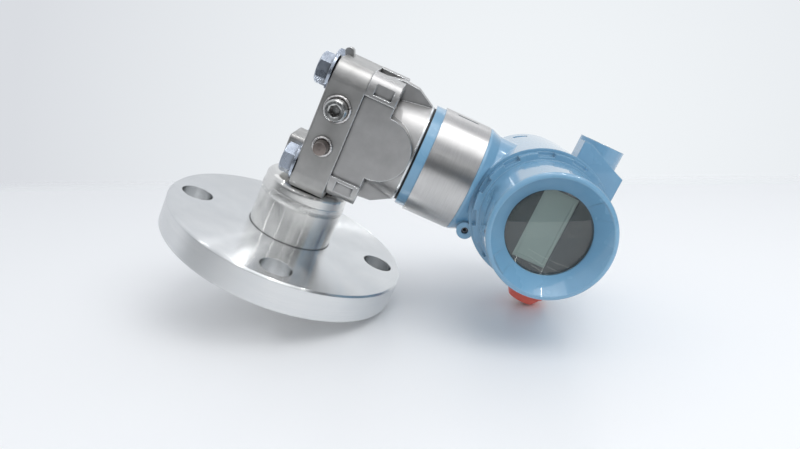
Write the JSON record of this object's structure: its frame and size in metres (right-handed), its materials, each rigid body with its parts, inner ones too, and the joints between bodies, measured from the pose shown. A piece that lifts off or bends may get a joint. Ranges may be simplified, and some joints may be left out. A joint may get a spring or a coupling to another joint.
{
  "type": "pressure transmitter",
  "caption": "Flange-mounted liquid level pressure transmitter with a stainless process block and a blue two-compartment housing with a display.",
  "frame": {"origin": "centre of the bolt circle on the flange's underside", "axes": "+Z along the flange's axis away from the process, +X along the transmitter's axis from the process block to the housing, display facing -Y"},
  "size_m": [0.2472, 0.1524, 0.1479],
  "materials": {
    "turned_steel": "turned and polished stainless steel",
    "cast_steel": "cast stainless steel, bead blasted",
    "machined_steel": "machined stainless steel",
    "thin_steel": "rolled stainless sheet",
    "weld_steel": "weld bead",
    "zinc_steel": "blue zinc plated",
    "blue_paint": "light blue gloss enamel over die-cast aluminium",
    "black_rubber": "satin rubber",
    "white_plastic": "plain",
    "orange_plastic": "moulded, satin",
    "dark_plastic": "moulded, matte",
    "lcd_glass": "grey-green display",
    "window_glass": "clear",
    "circuit_board": "solder mask",
    "brass": "nickel-free brass",
    "cable_jacket": "flat flexible cable"
  },
  "bodies": {
    "flange": {"process_flange": "turned_steel"},
    "base": {"seal_hub": "turned_steel", "isolating_diaphragm": "thin_steel", "process_block": "machined_steel", "block_bolts": "zinc_steel", "bolt_washers": "zinc_steel", "fill_port_plug": "machined_steel", "fill_port_cap": "machined_steel", "port_weld_beads": "weld_steel", "hub_weld": "weld_steel", "process_seal_rings": "white_plastic", "isolator_diaphragms": "thin_steel", "sensor_module": "cast_steel", "sensor_capsule": "machined_steel", "neck_gasket": "black_rubber"},
    "housing": {"electronics_housing": "blue_paint", "nameplate_band": "thin_steel", "set_screw": "zinc_steel", "meter_bezel": "dark_plastic", "lcd_panel": "lcd_glass", "meter_board": "circuit_board", "board_posts": "brass", "meter_screws": "zinc_steel", "main_board": "circuit_board", "sensor_cable": "cable_jacket", "terminal_block": "dark_plastic", "terminal_screws": "brass", "ground_screw": "brass"},
    "front_seal": {"front_cover_oring": "black_rubber"},
    "front_cover": {"display_cover": "blue_paint", "window_glass": "window_glass", "window_retainer": "dark_plastic"},
    "rear_seal": {"rear_cover_oring": "black_rubber"},
    "rear_cover": {"terminal_cover": "blue_paint"},
    "plug": {"conduit_plug": "orange_plastic"}
  },
  "joints": [
    {"name": "flange_turn", "type": "hinge", "parent": "flange", "child": "base", "pos_m": [0, 0, 0], "axis": [0, 0, 1], "continuous": true},
    {"name": "housing_turn", "type": "hinge", "parent": "base", "child": "housing", "pos_m": [0, 0, 0.0949], "axis": [1, 0, 0], "range_deg": [-177, 183]},
    {"name": "display_cover_turn", "type": "hinge", "parent": "housing", "child": "front_seal", "pos_m": [0.1302, 0, 0.0949], "axis": [0, -0.9986, 0.0523], "range_deg": [0, 1800]},
    {"name": "display_cover_travel", "type": "slide", "parent": "front_seal", "child": "front_cover", "axis": [0, -0.9986, 0.0523], "range_m": [0, 0.01001]},
    {"name": "terminal_cover_turn", "type": "hinge", "parent": "housing", "child": "rear_seal", "pos_m": [0.1302, 0, 0.0949], "axis": [0, 0.9986, -0.0523], "range_deg": [0, 1800]},
    {"name": "terminal_cover_travel", "type": "slide", "parent": "rear_seal", "child": "rear_cover", "axis": [0, 0.9986, -0.0523], "range_m": [0, 0.01001]},
    {"name": "conduit_plug_pull", "type": "slide", "parent": "housing", "child": "plug", "axis": [0, -0.0523, -0.9986], "range_m": [0, 0.022]}
  ],
  "couplings": [
    {"joint": "display_cover_travel", "follows": "display_cover_turn", "m_per_rad": 0.00031831},
    {"joint": "terminal_cover_travel", "follows": "terminal_cover_turn", "m_per_rad": 0.00031831}
  ]
}
